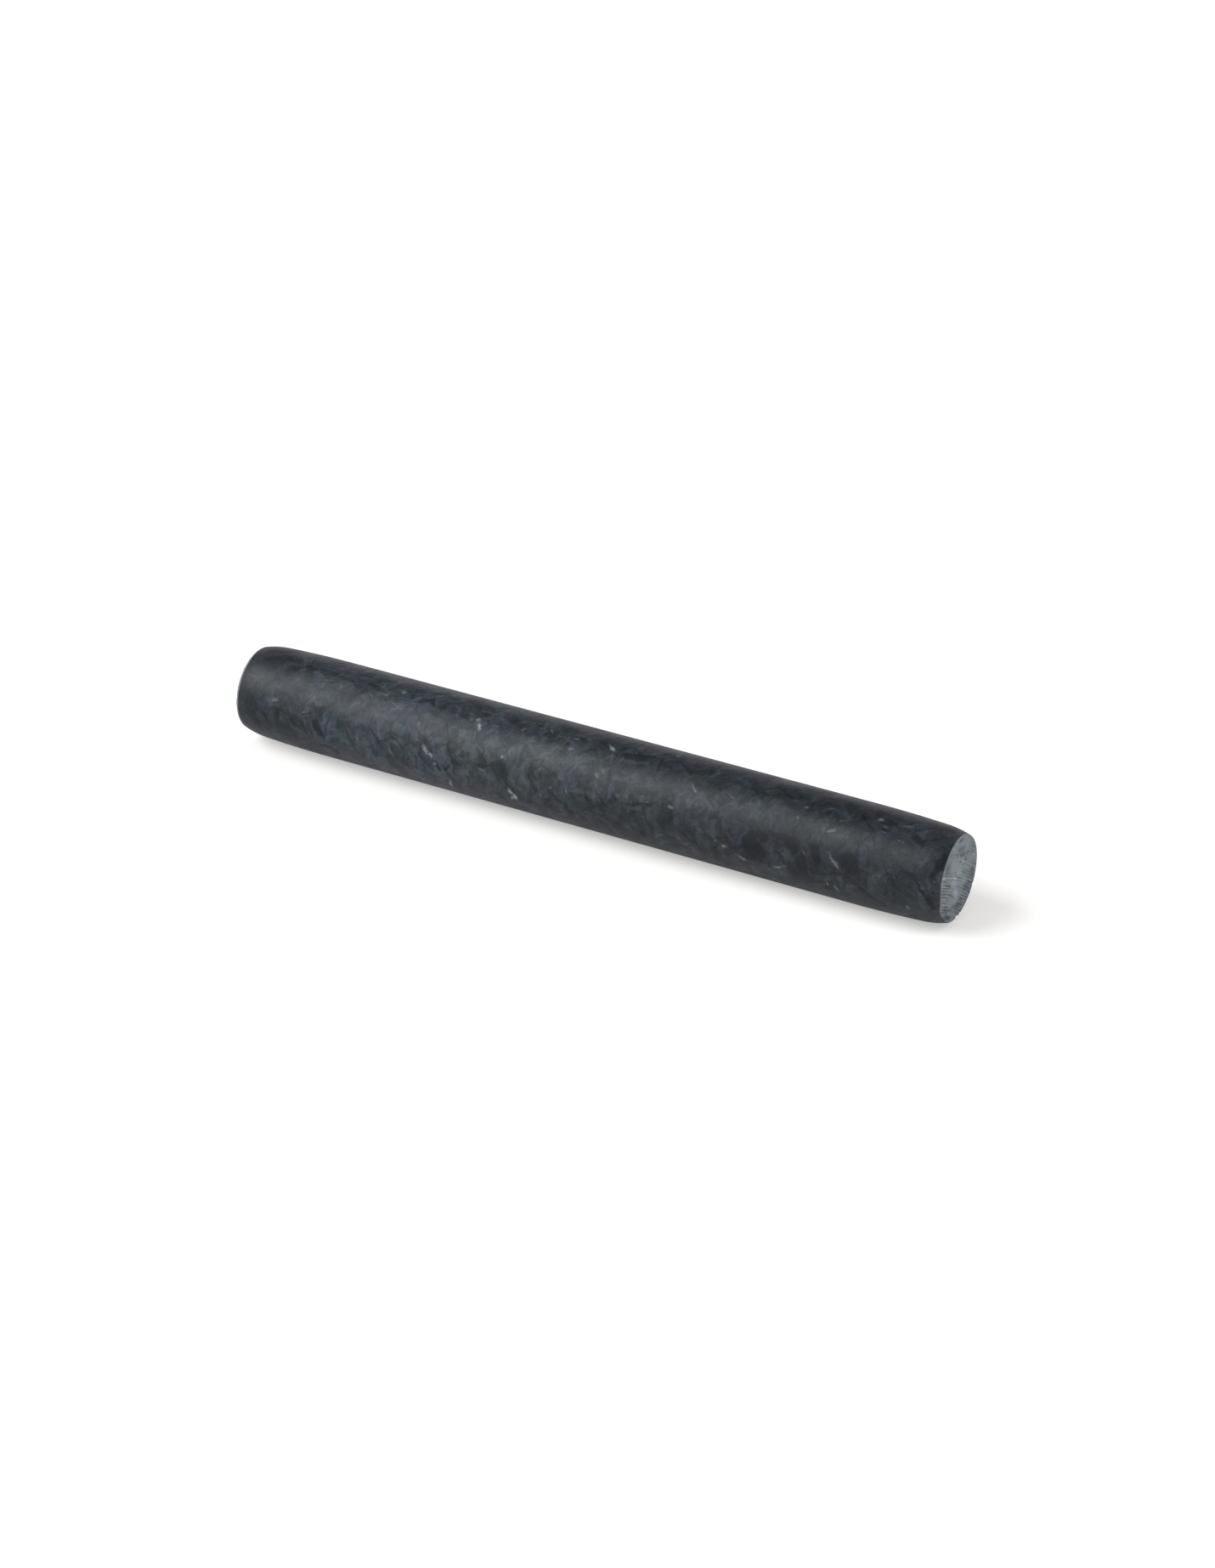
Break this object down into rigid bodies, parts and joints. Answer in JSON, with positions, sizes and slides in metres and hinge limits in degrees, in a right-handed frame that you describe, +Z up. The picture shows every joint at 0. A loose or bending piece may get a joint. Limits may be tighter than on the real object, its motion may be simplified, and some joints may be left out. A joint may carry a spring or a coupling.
{
  "type": "rolling pin",
  "caption": "Plain handle-less marble rolling pin: a solid round bar with softly tapered ends and flat ground end faces.",
  "frame": {"origin": "on the surface that the pin lies on, below the middle of its length", "axes": "+X along the pin, towards the end face that the picture shows; +Z up, away from the surface"},
  "size_m": [0.4, 0.05, 0.05],
  "materials": {
    "marble": "dark grey marble honed to a soft satin on the barrel, with pale dry-ground end faces"
  },
  "bodies": {
    "root": {"marble_roller": "marble"}
  },
  "joints": []
}
